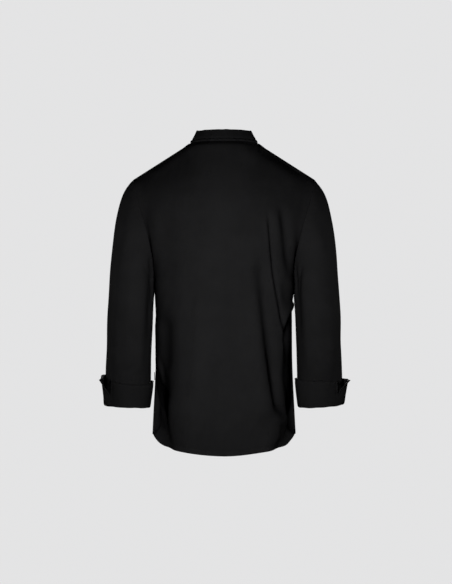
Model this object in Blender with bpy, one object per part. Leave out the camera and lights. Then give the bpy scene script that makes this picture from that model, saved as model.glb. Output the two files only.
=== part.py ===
"""Chef jacket in its worn, hollow shape: every cut-and-sewn piece is a thin wall of cloth.

Frame: metres, +Z up. The wearer faces -Y, so the back is at +Y and the wearer's left
side is +X. The origin is in the middle of the neck, level with the side neck points.
Lengths in this file are millimetres until a mesh is made.

Each piece starts as a grid of points on the middle of its cloth: columns run across the
piece, rows run along it, and neighbouring pieces share the points of their seam. The
grids are then drawn in from their seams by half the seam gap and given their thickness.
"""
import math

import bpy
import numpy as np

MM = 0.001

# Cloth and seams
CLOTH = 1.5
COLLAR_WALL = 2.4
CUFF_WALL = 1.8
SEAM_GAP = 0.3
ARMHOLE_GAP = 0.4
UNDERARM_EASE = 0.7     # added to the armhole's gap where the sleeve folds right back
COLLAR_GAP = 0.5
TAB_GAP = 0.7
LAP_STEP = 2.6          # from the middle of one front to the middle of the one under it
LAP_TOP_DROP = 7.0      # top edge of a lap, below the neck seam
COLLAR_END_GAP = 2.4    # between the two ends of the collar

# Body
HEM_SIDE_HEIGHT = -726.0
UNDERARM_HEIGHT = -345.0
BACK_HEM_DIP = 41.5     # how much lower the hem is at the centre back than at the side
FRONT_HEM_DIP = 20.0
# Exponents of the rounded sections, across and in depth: 2 and 2 make an ellipse, a high one
# across makes a flat middle, and a low one in depth makes slanting sides
BACK_CHEST_ROUNDING = (2.7, 2.7)
FRONT_ROUNDING = (2.4, 2.4)
# How a row rises from the centre line to the side: share of the way round, share of the rise
ROW_RISE = ((0, 0), (0.15, 0.025), (0.35, 0.17), (0.525, 0.315), (0.67, 0.475), (0.81, 0.67),
            (0.91, 0.84), (1, 1))
YOKE_START = 0.5        # share of the armhole above which the panels turn over the shoulder
YOKE_FULLNESS = 1.15    # how strongly the panels bend over the shoulder
YOKE_SETTLING = 10      # rounds in which the cloth over the shoulders evens itself out

# Neck and shoulder
NECK_HALF_WIDTH = 83.5
NECK_SIDE = (4.0, 1.5)          # y, z of the side neck point
NECK_BACK = (64.0, 3.0)
NECK_FRONT = (-58.0, -68.0)
SHOULDER_TIP = (225.0, 2.0, -88.5)

# How finely the grids are cut
HALF_COLUMNS = 14
NECK_COLUMNS = 6
LAP_COLUMNS = 6
BODY_ROWS = 15
ARM_ROWS = 12
CAP_ROWS = 9
LOWER_SLEEVE_ROWS = 8
COLLAR_ROWS = 3

# Outer sizes of the body, by the height of the side seam: height, half width, y of the side
# seam, y of the centre back, y of the centre front, the back's exponents across and in depth
TORSO = (
    (-726, 181.1, -50, 110, -122, 4.0, 1.2),
    (-660, 177.8, -46, 113, -125, 3.9, 1.25),
    (-600, 174.4, -38, 113, -126, 3.6, 1.4),
    (-540, 171.7, -26, 111, -125, 3.3, 1.65),
    (-470, 170.5, -12, 110, -124, 3.0, 2.0),
    (-400, 169.8, 1, 113, -128, 2.8, 2.4),
    (-345, 170.6, 8, 118, -133, 2.7, 2.7),
)

# Lower part of the armhole, by the share of the armhole's length from the underarm:
# share, y of the centre line, z of the centre line, share of the rounded section that is used
BACK_CHEST = (
    (0.00, 118, -345, 1.00),
    (0.12, 120, -306, 0.985),
    (0.25, 121, -265, 0.96),
    (0.50, 121, -185, 0.90),
)
FRONT_CHEST = (
    (0.00, -133, -345, 1.00),
    (0.12, -135, -311, 0.985),
    (0.25, -136, -277, 0.96),
    (0.50, -131, -212, 0.90),
)

# Slope of the cloth where it reaches the top seam, in degrees above level:
# share of the way from the centre line to the shoulder tip, slope
BACK_RISE = ((0.0, 48), (0.43, 34), (0.7, 16), (1.0, 24))
FRONT_RISE = ((0.0, 48), (0.43, 34), (0.7, 14), (1.0, 24))

# Armhole seam of the left side, from the underarm up the back and down the front: x, y, z
ARMHOLE = {
    "underarm": (169.9, 8, -345),
    "back_low": (172, 36, -307),
    "back_mid": (180.7, 60, -256),
    "back_high": (198, 67, -190),
    "back_top": (213.7, 53, -142),
    "back_crown": (221, 30, -107),
    "tip": SHOULDER_TIP,
    "front_crown": (219, -24, -105),
    "front_top": (206, -44, -140),
    "front_high": (189, -56, -193),
    "front_mid": (175, -52, -256),
    "front_low": (168.5, -26, -310),
}

# Outer sizes of the left sleeve, by station from the armhole to the wrist:
# station, outer x, outer z, inner x, inner z, y of the middle, half the depth in y
SLEEVE = (
    (0, 225.0, -88.5, 169.4, -345, 4, 61),
    (0.45, 234.8, -100.0, 172.3, -346.8, 4, 63.5),
    (1, 249.0, -120.5, 173.0, -349.5, 4, 66),
    (2, 266.0, -174, 173.2, -353, 4, 70),
    (3, 277.2, -243, 173.2, -360, 4, 72),
    (4, 284.0, -318, 174.2, -376, 4, 72.5),
    (5, 289.5, -400, 176.2, -402, 3, 71),
    (6, 293.0, -480, 180.0, -480, -3, 65.5),
    (7, 296.3, -550, 182.5, -550, -14, 57.5),
    (8, 297.5, -600, 184.2, -600, -24, 51.5),
    (9, 299.0, -650, 189.4, -652, -33, 48.5),
)
CAP_END_STATION = 5
SLEEVE_END_STATION = 8
WRIST_STATION = 9
WRIST_HEIGHT = -651.0       # mean height of the wrist station's ring
STATION_DROP = 50.0         # from one station to the next near the wrist
CAP_CROWDING = 1.15         # exponent that sets the cap's rings closer together at its top
ARMHOLE_FADE = 2.6          # station where the armhole's own outline has faded out

# Turned-back cuffs. Fold and free edge: z at the inner side, z at the outer side, and how
# much lower the back is; share of the height where the split starts; swing of its corner
# and the shares of it that the columns next to the corner take.
CUFFS = {
    "left": {"fold": (-657, -652, 0), "edge": (-593, -577, 11), "split": 0.35, "swing": 26,
             "wing": (0.46, 0.26, 0.1)},
    "right": {"fold": (-656, -648, 2), "edge": (-586, -587, 2), "split": 0.50, "swing": 30,
              "wing": (0.54, 0.36, 0.2)},
}
CUFF_SPLIT_COLUMN = 9       # of 24, counted from the inner side round the back
CUFF_TURN = 4.0             # from the middle of the tube to the middle of the turned layer
CUFF_FLARE = 2.6            # added to that at the free edge
CUFF_FOLD_START = 0.03      # share of the height where both layers leave the fold
CUFF_FOLD_DROP = 4.0        # how far the fold's lowest line hangs below that
CUFF_LIP_SHIFT = (-2.5, 0.5, 0.0)   # of the split's other lip, at the free edge
CUFF_TUBE_ROWS = 3
CUFF_TURNED_ROWS = 5

# Collar: how far each place leans in and rises: angle from the front, lean, rise
COLLAR_LEAN = ((0, 6, 33), (90, 16, 30), (180, 14, 29.5))
COLLAR_CORNER = 9.0         # how far the top corners are rounded back from the ends
COLLAR_CORNER_DROP = 1.5

# How far a front laps past the centre line, by the share of the way up
LAP_WIDTH = ((0.0, 93.0), (0.45, 92.5), (0.7, 89.0), (0.85, 84.7), (0.93, 78.4), (1.0, 74.8))

FOLD_FADE = 60.0            # height over which a fold fades in and out
FOLD_FREE_COLUMNS = 2.5     # columns next to a side seam over which folds fade out
FOLD_FREE_ROWS = 3.0        # and rows below the top seam

# Largest folds of the body: a trough runs through three places (x, z), with its half width
# and depth. A trough whose lowest place is below the hem runs out through the hem.
BACK_FOLDS = {
    "right_blade": ((-143, -150), (-147, -230), (-158, -330), 17, 5.0),
    "right_sharp": ((-108, -170), (-122, -320), (-150, -545), 12, 3.5),
    "right_long": ((-84, -275), (-99, -430), (-128, -665), 18, 8.0),
    "right_hem": ((-154, -630), (-142, -700), (-132, -820), 18, 9.5),
    "left_long": ((150, -400), (153, -560), (150, -690), 17, 6.0),
    "left_hem": ((162, -580), (150, -680), (139, -820), 18, 11.0),
    "centre_left": ((48, -430), (40, -580), (36, -820), 30, 2.6),
    "centre_right": ((-30, -470), (-36, -600), (-44, -820), 28, 2.6),
}
FRONT_FOLDS = {
    "left_bust": ((128, -190), (132, -280), (140, -380), 20, 4.5),
    "left_long": ((108, -330), (118, -500), (128, -820), 22, 5.5),
    "right_bust": ((-134, -180), (-138, -270), (-146, -370), 20, 4.5),
    "right_long": ((-118, -360), (-128, -520), (-134, -820), 22, 5.0),
}
# Folds of the sleeves: places are (column of 24, station)
SLEEVE_FOLDS = {
    "underarm_back": ((2.6, 1.2), (2.4, 3.6), (2.0, 6.2), 0.9, 4.0),
    "underarm_front": ((21.4, 1.2), (21.5, 3.6), (21.8, 6.0), 0.9, 4.0),
    "elbow": ((16.0, 4.6), (18.5, 5.9), (21.0, 6.6), 1.3, 4.5),
    "forearm": ((13.2, 5.6), (13.6, 6.8), (13.8, 8.6), 1.1, 3.0),
}

# Buttons
BUTTON_RADIUS = 9.0
BUTTON_THICKNESS = 3.8
BUTTON_COLUMN_X = 70.0
BUTTON_TOP_HEIGHT = -142.0
BUTTON_SPACING = 95.0
BUTTON_ROWS = 5
BUTTON_SIDES = 14

# Small folded tab in the left side seam: how far it sticks out, thickness, height, middle z
TAB = (1.7, 1.2, 20.0, -581.0)

MATERIALS = {
    "black_twill": ((0.012, 0.012, 0.0125), 0.85),
    "collar_twill": ((0.012, 0.012, 0.0125), 0.8),
    "button_plastic": ((0.01, 0.01, 0.011), 0.35),
    "tab_tape": ((0.014, 0.014, 0.015), 0.7),
}


# ---------------------------------------------------------------- lines and surfaces
def unit(vectors):
    return vectors / np.maximum(np.linalg.norm(vectors, axis=-1, keepdims=True), 1e-9)


def ease(share):
    share = np.clip(share, 0.0, 1.0)
    return share * share * (3 - 2 * share)


def spline(keys, values, places):
    """Natural cubic spline through the rows of `values`, read at `places`."""
    keys = np.asarray(keys, float)
    values = np.asarray(values, float)
    places = np.atleast_1d(np.asarray(places, float))
    step = np.diff(keys)
    slope = np.diff(values, axis=0) / step[:, None]
    matrix = np.eye(len(keys))
    bend = np.zeros_like(values)
    for i in range(1, len(keys) - 1):
        matrix[i, i - 1:i + 2] = step[i - 1], 2 * (step[i - 1] + step[i]), step[i]
        bend[i] = 6 * (slope[i] - slope[i - 1])
    bend = np.linalg.solve(matrix, bend)
    i = np.clip(np.searchsorted(keys, places) - 1, 0, len(step) - 1)
    t = (places - keys[i])[:, None]
    h = step[i][:, None]
    start = slope[i] - h * (2 * bend[i] + bend[i + 1]) / 6
    return values[i] + t * start + t ** 2 * bend[i] / 2 + t ** 3 * (bend[i + 1] - bend[i]) / (6 * h)


def read(table, place):
    """One row of a table, read between its own rows; the first column is the key."""
    table = np.asarray(table, float)
    return spline(table[:, 0], table[:, 1:], place)[0]


def spread(line, count):
    """The same line as `count` equal steps along its length."""
    steps = np.linalg.norm(np.diff(line, axis=0), axis=1)
    length = np.concatenate([[0.0], np.cumsum(steps)])
    places = np.linspace(0.0, length[-1], count + 1)
    return np.column_stack([np.interp(places, length, line[:, k]) for k in range(3)])


def mirrored(grid):
    """The other side's grid, with its columns reversed so that it still faces outwards."""
    return grid[:, ::-1] * (-1, 1, 1)


def sample(grid, row, column):
    """A point of the grid at a fractional row and column."""
    r = int(min(max(row, 0), len(grid) - 1.001))
    c = int(min(max(column, 0), grid.shape[1] - 1.001))
    down, across = row - r, column - c
    low = grid[r, c] * (1 - across) + grid[r, c + 1] * across
    high = grid[r + 1, c] * (1 - across) + grid[r + 1, c + 1] * across
    return low * (1 - down) + high * down


def grid_normals(grid, closed=False):
    """Outward direction at each point of a grid."""
    if closed:
        around = np.roll(grid, -1, axis=1) - np.roll(grid, 1, axis=1)
    else:
        around = np.gradient(grid, axis=1)
    return unit(np.cross(around, np.gradient(grid, axis=0)))


# ---------------------------------------------------------------- body
def armhole_lines():
    """The armhole seam of the left side as two fine lines, underarm to shoulder tip."""
    loop = np.array(list(ARMHOLE.values()), float)
    wrapped = np.vstack([loop[-3:], loop, loop[:4]])
    keys = np.concatenate([[0.0], np.cumsum(np.linalg.norm(np.diff(wrapped, axis=0), axis=1))])
    under, tip, under_again = keys[3], keys[9], keys[15]
    back = spline(keys, wrapped, np.linspace(under, tip, 200))
    front = spline(keys, wrapped, np.linspace(under_again, tip, 200))
    return {"back": spread(back, 199), "front": spread(front, 199)}


def point_on(line, share):
    place = share * (len(line) - 1)
    return np.array([np.interp(place, np.arange(len(line)), line[:, k]) for k in range(3)])


def body_row(centre, side, reach, rounding):
    """Half a section of the body, a rounded arc from the centre line to the side."""
    wide, deep = rounding
    across = np.sin(np.linspace(0, math.pi / 2, 300))
    end = (1 - reach ** wide) ** (1 / deep)
    depth = ((1 - (reach * across) ** wide) ** (1 / deep) - end) / (1 - end)
    x = side[0] * across
    y = side[1] + (centre[1] - side[1]) * depth
    flat = spread(np.column_stack([x, y, 0 * x]), HALF_COLUMNS)
    rise = np.array([read(ROW_RISE, k / HALF_COLUMNS)[0] for k in range(HALF_COLUMNS + 1)])
    flat[:, 2] = centre[2] + (side[2] - centre[2]) * rise
    return flat


def top_line(middle):
    """The neck seam from the centre to the side neck point, then the shoulder seam."""
    angle = np.linspace(0, math.pi / 2, 120)
    y = NECK_SIDE[0] + (middle[0] - NECK_SIDE[0]) * np.cos(angle)
    z = NECK_SIDE[1] + (middle[1] - NECK_SIDE[1]) * np.cos(angle)
    neck = spread(np.column_stack([NECK_HALF_WIDTH * np.sin(angle), y, z]), NECK_COLUMNS)
    shoulder = np.linspace(neck[-1], SHOULDER_TIP, HALF_COLUMNS - NECK_COLUMNS + 1)
    return np.vstack([neck, shoulder[1:]])


def half_body(face):
    """The left half of the back or of the front, centre line to side, hem to top."""
    back = face == "back"
    arm = armhole_lines()[face]
    chest = BACK_CHEST if back else FRONT_CHEST
    chest_rounding = BACK_CHEST_ROUNDING if back else FRONT_ROUNDING
    dip = BACK_HEM_DIP if back else FRONT_HEM_DIP
    rows = []
    for height in np.linspace(HEM_SIDE_HEIGHT, UNDERARM_HEIGHT, BODY_ROWS + 1)[:-1]:
        half_width, side_y, back_y, front_y, *back_rounding = read(TORSO, height)
        low = (UNDERARM_HEIGHT - height) / (UNDERARM_HEIGHT - HEM_SIDE_HEIGHT)
        centre = (0, back_y if back else front_y, height - dip * low ** 2)
        side = (half_width - CLOTH / 2, side_y, height)
        rows.append(body_row(centre, side, 1.0, back_rounding if back else FRONT_ROUNDING))

    def chest_row(share):
        y, z, reach = read(chest, share)
        return body_row((0, y, z), point_on(arm, share), min(reach, 1.0), chest_rounding)

    # Above the chest each column bends over to the neck or shoulder seam.
    start = chest_row(YOKE_START)
    step = 0.04
    leave = (start - chest_row(YOKE_START - step)) / step * (1 - YOKE_START)
    top = top_line(NECK_BACK if back else NECK_FRONT)
    share_across = np.linspace(0, 1, HALF_COLUMNS + 1)
    slope = np.radians([read(BACK_RISE if back else FRONT_RISE, u)[0] for u in share_across])
    toward = -1 if back else 1
    arrive = np.column_stack([0 * slope, toward * np.cos(slope), np.sin(slope)])
    arrive = arrive * YOKE_FULLNESS * np.linalg.norm(top - start, axis=1)[:, None]
    for share in np.linspace(0, 1, ARM_ROWS + 1):
        if share <= YOKE_START:
            rows.append(chest_row(share))
            continue
        t = (share - YOKE_START) / (1 - YOKE_START)
        row = ((2 * t ** 3 - 3 * t ** 2 + 1) * start + (t ** 3 - 2 * t ** 2 + t) * leave
               + (3 * t ** 2 - 2 * t ** 3) * top + (t ** 3 - t ** 2) * arrive)
        row = row + (point_on(arm, share) - row[-1]) * share_across[:, None] ** 3
        rows.append(row)
    return np.array(rows)


def settled(grid):
    """The panel with the part over the shoulders evened out between its pinned edges."""
    grid = grid.copy()
    low = BODY_ROWS + round(YOKE_START * ARM_ROWS) - 1
    for _ in range(YOKE_SETTLING):
        inner = grid[low:-1, 1:-1]
        around = (grid[low - 1:-2, 1:-1] + grid[low + 1:, 1:-1]
                  + grid[low:-1, :-2] + grid[low:-1, 2:]) / 4
        grid[low:-1, 1:-1] = (inner + around) / 2
    return grid


def fold_body(grid, folds):
    """Press the folds into a panel; its side and top seams stay where they are."""
    count = grid.shape[1] - 1
    from_side = np.minimum(np.arange(count + 1), np.arange(count, -1, -1)) / FOLD_FREE_COLUMNS
    from_top = np.arange(len(grid) - 1, -1, -1) / FOLD_FREE_ROWS
    free = ease(from_side)[None, :] * ease(from_top)[:, None]
    depth = np.zeros(grid.shape[:2])
    for top, middle, bottom, half_width, deep in folds.values():
        heights = (bottom[1], middle[1], top[1])
        across = grid[..., 0] - np.interp(grid[..., 2], heights, (bottom[0], middle[0], top[0]))
        run = (ease((top[1] - grid[..., 2]) / FOLD_FADE)
               * ease((grid[..., 2] - bottom[1]) / FOLD_FADE))
        depth += deep * run * np.exp(-(across / half_width) ** 2)
    return grid - grid_normals(grid) * (depth * free)[..., None]


def front_lap(base, outward):
    """One front: its own half of the base grid and the lap past the centre line.

    `base` runs from this front's lap side to its own side, `outward` is 1 for the front
    that lies over the other and -1 for the one under it."""
    normals = grid_normals(base)
    top = len(base) - 1
    centre = HALF_COLUMNS
    rows = []
    for r in range(top + 1):
        high = r / top
        past_centre = np.abs(base[r, centre::-1, 0])
        lap = float(np.interp(read(LAP_WIDTH, high)[0], past_centre, np.arange(centre + 1)))
        lap_places = [lap * k / LAP_COLUMNS for k in range(LAP_COLUMNS, 0, -1)]
        row = []
        for place in lap_places:
            drop = LAP_TOP_DROP / 20.0 * ease(place / 2) * high ** 8
            point = sample(base, r - drop, centre - place)
            normal = unit(sample(normals, r - drop, centre - place))
            row.append(point + normal * LAP_STEP * outward)
        own = base[r, centre:].copy()
        if outward > 0:
            own[0] += normals[r, centre] * LAP_STEP
        row.extend(own)
        rows.append(row)
    return np.array(rows)


# ---------------------------------------------------------------- sleeves and cuffs
def half_ring(outer, inner, middle_y, half_depth, side):
    """Inner side to outer side of a sleeve section, round its back (1) or its front (-1)."""
    angle = np.linspace(0, math.pi, 200)
    centre = (np.array(outer) + np.array(inner)) / 2
    reach = (np.array(outer) - np.array(inner)) / 2
    x = centre[0] - np.cos(angle) * reach[0]
    z = centre[1] - np.cos(angle) * reach[1]
    y = middle_y + side * np.sin(angle) * half_depth
    return spread(np.column_stack([x, y, z]), ARM_ROWS)


def ring(outer, inner, middle_y, half_depth):
    """A closed sleeve section, from the inner side round the back and the front."""
    back = half_ring(outer, inner, middle_y, half_depth, 1)
    front = half_ring(outer, inner, middle_y, half_depth, -1)
    return np.vstack([back, front[-2:0:-1]])


def sleeve_ring(station, grow=0.0):
    """The middle of the sleeve's cloth at a station, grown outwards by `grow`."""
    outer_x, outer_z, inner_x, inner_z, middle_y, half_depth = read(SLEEVE, station)
    wall = CLOTH / 2 - grow
    slant = unit(np.array([outer_x - inner_x, outer_z - inner_z]))
    outer = np.array([outer_x, outer_z]) - slant * wall
    inner = np.array([inner_x, inner_z]) + slant * wall
    return ring(outer, inner, middle_y, half_depth - wall)


def fold_sleeve(grid, stations):
    """Press the sleeve's folds in, away from its armhole and its wrist seam."""
    depth = np.zeros(grid.shape[:2])
    columns = np.arange(grid.shape[1])[None, :]
    rows = np.asarray(stations)[:, None]
    for first, middle, last, half_width, deep in SLEEVE_FOLDS.values():
        line = np.interp(rows, (first[1], middle[1], last[1]), (first[0], middle[0], last[0]))
        run = ease((rows - first[1]) / 0.8) * ease((last[1] - rows) / 0.8)
        depth += deep * run * np.exp(-((columns - line) / half_width) ** 2)
    depth *= ease(rows / 1.2) * ease((SLEEVE_END_STATION - rows) / 1.2)
    return grid - grid_normals(grid, closed=True) * depth[..., None]


def sleeve_grid(back_side, front_side):
    """The left sleeve from the armhole to the cuff's seam.

    The first ring stands off the armhole's edges so that the two walls clear each other,
    whatever the angle at which they meet."""
    lines = armhole_lines()
    back = spread(lines["back"], ARM_ROWS)
    front = spread(lines["front"], ARM_ROWS)
    seam = np.vstack([back, front[-2:0:-1]])
    shape = seam - sleeve_ring(0)
    cap = np.linspace(0, CAP_END_STATION, CAP_ROWS + 1) ** CAP_CROWDING
    cap *= CAP_END_STATION / cap[-1]
    lower = np.linspace(CAP_END_STATION, SLEEVE_END_STATION, LOWER_SLEEVE_ROWS + 1)[1:]
    stations = np.concatenate([cap, lower])
    rings = [sleeve_ring(s) + shape * (1 - ease(s / ARMHOLE_FADE)) for s in stations]
    grid = np.array(rings)
    body = np.vstack([back_side, front_side[-2:0:-1]])
    along = np.roll(seam, -1, axis=0) - np.roll(seam, 1, axis=0)
    out_of_body = unit(np.cross(body, along))
    for _ in range(3):
        own = grid_normals(grid, closed=True)[0]
        out_of_sleeve = unit(np.cross(own, along))
        apart = body - own
        way = np.where(np.sum(apart * out_of_body, axis=1) < 0, -1, 1)[:, None]
        back_fold = (np.linalg.norm(apart, axis=1)[:, None] / 2) ** 4
        gap = ARMHOLE_GAP + UNDERARM_EASE * back_fold
        clear = unit(out_of_body + out_of_sleeve + way * apart * back_fold)
        grid[0] = seam + gap * clear + way * apart * CLOTH / 2
    return fold_sleeve(grid, stations)


def cuff_ring(along, side_sizes, turned):
    """A section of a cuff. `along` is 0 at the fold and 1 at the turned layer's free edge."""
    fold = np.array(side_sizes["fold"], float)
    edge = np.array(side_sizes["edge"], float)
    inner_z, outer_z, back_drop = fold + (edge - fold) * along
    station = WRIST_STATION - ((inner_z + outer_z) / 2 - WRIST_HEIGHT) / STATION_DROP
    grow = (CUFF_TURN + CUFF_FLARE * along ** 1.5) if turned else 0.0
    section = sleeve_ring(min(station, WRIST_STATION), grow)
    share = (section[:, 0] - section[:, 0].min()) / np.ptp(section[:, 0])
    round_back = np.sin(np.arccos(1 - 2 * share)) * np.sign(section[:, 1] - section[0, 1])
    section[:, 2] = inner_z + (outer_z - inner_z) * share - back_drop * np.maximum(round_back, 0)
    return section


def cuff_grid(side_sizes):
    """A turned-back cuff: up the tube's outside, round the fold and up the turned layer."""
    rows = [sleeve_ring(SLEEVE_END_STATION)]
    tube_end = cuff_ring(CUFF_FOLD_START, side_sizes, False)
    for k in range(1, CUFF_TUBE_ROWS + 1):
        share = k / CUFF_TUBE_ROWS
        between = sleeve_ring(SLEEVE_END_STATION + share * (WRIST_STATION - SLEEVE_END_STATION))
        rows.append(between * (1 - ease(share)) + tube_end * ease(share))
    fold = (tube_end + cuff_ring(CUFF_FOLD_START, side_sizes, True)) / 2
    fold[:, 2] -= CUFF_FOLD_DROP
    rows.append(fold)
    turned = np.linspace(CUFF_FOLD_START, 1.0, CUFF_TURNED_ROWS + 1)
    rows.extend(cuff_ring(along, side_sizes, True) for along in turned)
    grid = np.roll(np.array(rows), -CUFF_SPLIT_COLUMN, axis=1)
    grid = np.concatenate([grid, grid[:, :1]], axis=1)

    # Above the split's start the first column is the corner that swings out and the last
    # one is the lip that stays on the sleeve.
    first_turned = len(rows) - len(turned)
    swing, start = side_sizes["swing"], side_sizes["split"]
    for r, along in enumerate(turned):
        open_by = max(0.0, (along - start) / (1 - start))
        grid[first_turned + r, 0, 0] += swing * open_by
        for column, share in enumerate(side_sizes["wing"], start=1):
            grid[first_turned + r, column, 0] += swing * share * along ** 0.8
        grid[first_turned + r, -1] += np.array(CUFF_LIP_SHIFT) * open_by
    return grid


# ---------------------------------------------------------------- collar
def collar_grid(back_top, front_top):
    """The stand-up band, from the centre front round the left side and the back."""
    back_seam = back_top[:NECK_COLUMNS + 1]
    front_seam = front_top[:NECK_COLUMNS + 1]
    left = np.vstack([front_seam, back_seam[-2::-1]])
    right = left[::-1] * (-1, 1, 1)
    seam = np.vstack([left, right[1:]])
    count = len(seam) - 1
    rows = []
    for r in range(COLLAR_ROWS + 1):
        up = r / COLLAR_ROWS
        row = seam.copy()
        for k, point in enumerate(seam):
            angle = 180 * (1 - abs(1 - 2 * k / count))
            lean, rise = read(COLLAR_LEAN, angle)
            middle = np.array([0, (NECK_BACK[0] + NECK_FRONT[0]) / 2])
            inwards = unit(middle - point[:2])
            row[k, :2] += inwards * lean * up
            row[k, 2] += rise * up
        for end, neighbour in ((0, 1), (count, count - 1)):
            row[end] += unit(row[neighbour] - row[end]) * COLLAR_CORNER * up ** 3
            row[end, 2] -= COLLAR_CORNER_DROP * up ** 3
        rows.append(row)
    return np.array(rows)


# ---------------------------------------------------------------- walls
def drawn_in(grid, rows=(True, True), columns=(True, True), by=SEAM_GAP / 2):
    """The grid with the edges that are sewn drawn in, square to the seam."""
    out = grid.copy()
    for wanted, edge, inner in zip(rows, (0, -1), (1, -2)):
        if wanted:
            out[edge] += by * square_to(grid[edge], grid[inner] - grid[edge])
    for wanted, edge, inner in zip(columns, (0, -1), (1, -2)):
        if wanted:
            out[:, edge] += by * square_to(grid[:, edge], grid[:, inner] - grid[:, edge])
    return out


def square_to(line, inwards):
    """The direction `inwards` with what runs along the line taken out."""
    along = unit(np.gradient(line, axis=0))
    return unit(inwards - along * np.sum(inwards * along, axis=1)[:, None])


def key_of(point):
    return tuple(np.round(point, 2) + 0.0)


class Cloth:
    """A cut piece: its points on the seams, its points drawn in, and its quads."""

    def __init__(self, name, material, wall, seam_grid, grid, closed=False):
        self.name, self.material, self.wall = name, material, wall
        rows, columns = grid.shape[:2]
        index = {}
        place = []
        self.seam_points, self.points = [], []
        for on_seam, inside in zip(seam_grid.reshape(-1, 3), grid.reshape(-1, 3)):
            key = key_of(inside)
            if key not in index:
                index[key] = len(self.points)
                self.seam_points.append(on_seam)
                self.points.append(inside)
            place.append(index[key])
        place = np.array(place).reshape(rows, columns)
        if closed:
            place = np.concatenate([place, place[:, :1]], axis=1)
        self.quads = np.stack([place[:-1, :-1], place[:-1, 1:], place[1:, 1:], place[1:, :-1]],
                              axis=-1).reshape(-1, 4)
        self.seam_points, self.points = np.array(self.seam_points), np.array(self.points)

    def facing(self):
        """Sum of the face normals round each point."""
        a, b, c, d = (self.seam_points[self.quads[:, k]] for k in range(4))
        normal = np.cross(c - a, d - b)
        total = np.zeros_like(self.points)
        for k in range(4):
            np.add.at(total, self.quads[:, k], normal)
        return total


def make_material(name):
    colour, roughness = MATERIALS[name]
    material = bpy.data.materials.new(name)
    material.use_nodes = True
    shader = material.node_tree.nodes["Principled BSDF"]
    shader.inputs["Base Color"].default_value = (*colour, 1.0)
    shader.inputs["Roughness"].default_value = roughness
    shader.inputs["Metallic"].default_value = 0.0
    return material


def make_object(name, points, faces, material):
    mesh = bpy.data.meshes.new(name)
    mesh.from_pydata((np.asarray(points) * MM).tolist(), [], [list(map(int, f)) for f in faces])
    mesh.materials.append(make_material(material))
    mesh.shade_smooth()
    mesh.set_sharp_from_angle(angle=math.radians(50))
    piece = bpy.data.objects.new(name, mesh)
    bpy.context.scene.collection.objects.link(piece)
    return piece


def make_wall(piece, normals):
    """Give a piece its thickness, half on each side of its middle, with closed edges."""
    half = piece.wall / 2
    count = len(piece.points)
    points = np.vstack([piece.points + normals * half, piece.points - normals * half])
    faces = [tuple(q) for q in piece.quads]
    faces += [tuple(count + q[::-1]) for q in piece.quads]
    used = {(q[k], q[(k + 1) % 4]) for q in piece.quads for k in range(4)}
    faces += [(b, a, a + count, b + count) for a, b in used if (b, a) not in used]
    return make_object(piece.name, points, faces, piece.material)


def sew(pieces):
    """Make every wall. At a seam the pieces share one direction, so their edges are parallel."""
    shared = {}
    for piece in pieces:
        for point, facing in zip(piece.seam_points, piece.facing()):
            key = key_of(point)
            shared[key] = shared.get(key, 0) + facing
    for piece in pieces:
        normals = unit(np.array([shared[key_of(point)] for point in piece.seam_points]))
        make_wall(piece, normals)


# ---------------------------------------------------------------- buttons and tab
def place_on(grid, x, z):
    """The point of a grid that is seen at x, z from the front, and the way it faces."""
    normals = grid_normals(grid)
    best = None
    for row in np.arange(0, len(grid) - 1, 0.1):
        for column in np.arange(0, grid.shape[1] - 1, 0.1):
            point = sample(grid, row, column)
            miss = math.hypot(point[0] - x, point[2] - z)
            if best is None or miss < best[0]:
                best = (miss, point, unit(sample(normals, row, column)))
    return best[1], best[2]


def make_button(name, point, facing):
    """A round button's plain body with softened edges, on the cloth's outside."""
    edge = BUTTON_RADIUS
    thick = BUTTON_THICKNESS
    profile = ((edge - 1.2, 0.0), (edge, 1.1), (edge, thick - 0.9), (edge - 1.0, thick))
    side = unit(np.cross((0, 0, 1), facing))
    up = np.cross(facing, side)
    base = point + facing * (CLOTH / 2 + SEAM_GAP)
    points = []
    for radius, height in profile:
        for k in range(BUTTON_SIDES):
            angle = 2 * math.pi * k / BUTTON_SIDES
            spoke = side * math.cos(angle) + up * math.sin(angle)
            points.append(base + spoke * radius + facing * height)
    faces = []
    for ring_start in range(0, (len(profile) - 1) * BUTTON_SIDES, BUTTON_SIDES):
        for k in range(BUTTON_SIDES):
            after = (k + 1) % BUTTON_SIDES
            faces.append((ring_start + k, ring_start + after,
                          ring_start + BUTTON_SIDES + after, ring_start + BUTTON_SIDES + k))
    faces.append(tuple(range(BUTTON_SIDES - 1, -1, -1)))
    faces.append(tuple(range(len(points) - BUTTON_SIDES, len(points))))
    make_object(name, points, faces, "button_plastic")


def make_buttons(front_grid):
    for row in range(BUTTON_ROWS):
        for side, x in (("left", BUTTON_COLUMN_X), ("right", -BUTTON_COLUMN_X)):
            point, facing = place_on(front_grid, x, BUTTON_TOP_HEIGHT - row * BUTTON_SPACING)
            make_button(f"button_{row + 1}_{side}", point, facing)


def make_tab():
    """The folded tab stands out of the left side seam."""
    out, thick, high, middle = TAB
    half_width, side_y = read(TORSO, middle)[:2]
    bpy.ops.mesh.primitive_cube_add(size=1)
    tab = bpy.context.active_object
    tab.name = "side_tab"
    tab.data.name = "side_tab"
    start = half_width + TAB_GAP
    for vertex in tab.data.vertices:
        x, y, z = vertex.co
        vertex.co = ((start + (x + 0.5) * out) * MM, (side_y + y * thick) * MM,
                     (middle + z * high) * MM)
    tab.data.materials.append(make_material("tab_tape"))
    bevel = tab.modifiers.new("soft_edges", "BEVEL")
    bevel.width = 0.3 * MM
    bevel.segments = 1


# ---------------------------------------------------------------- the jacket
def both_halves(half):
    """A whole panel from its left half, side to side, facing outwards at the back."""
    return np.concatenate([half[:, ::-1], half[:, 1:] * (-1, 1, 1)], axis=1)


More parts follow.
